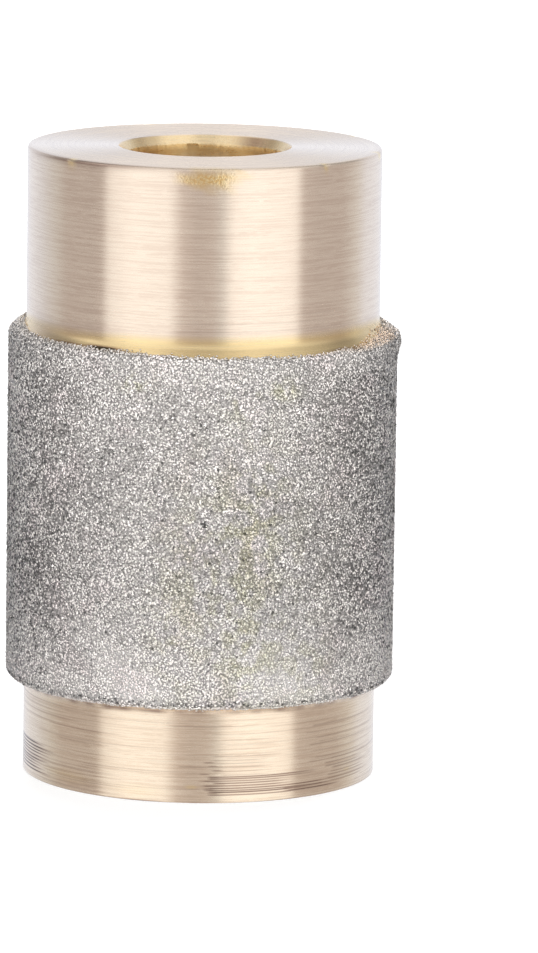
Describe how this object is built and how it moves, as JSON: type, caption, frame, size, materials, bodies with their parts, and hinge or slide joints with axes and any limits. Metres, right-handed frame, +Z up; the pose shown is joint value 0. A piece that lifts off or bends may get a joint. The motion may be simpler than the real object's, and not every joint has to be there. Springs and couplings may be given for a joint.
{
  "type": "glass grinder bit",
  "caption": "Upright turned brass bit with a diamond-plated grinding band, a bore right through for a motor shaft, and a set screw in its neck that clamps the shaft.",
  "frame": {"origin": "centre of the foot's lower face, on the bore's axis", "axes": "+Z up the bore, from the foot to the neck; +Y out of the neck along the set screw"},
  "size_m": [0.019, 0.019, 0.0309],
  "materials": {
    "turned_brass": "turned and polished, with fine rings and a few deeper grooves",
    "diamond_grit": "diamond grit held in electroplated nickel",
    "black_steel": "black oxide"
  },
  "bodies": {
    "hub": {"hub": "turned_brass", "diamond_coating": "diamond_grit"},
    "set_screw": {"set_screw": "black_steel"}
  },
  "joints": [
    {"name": "set_screw_travel", "type": "slide", "parent": "hub", "child": "set_screw", "axis": [0, -1, 0], "range_m": [-0.0007, 0.0014]}
  ]
}
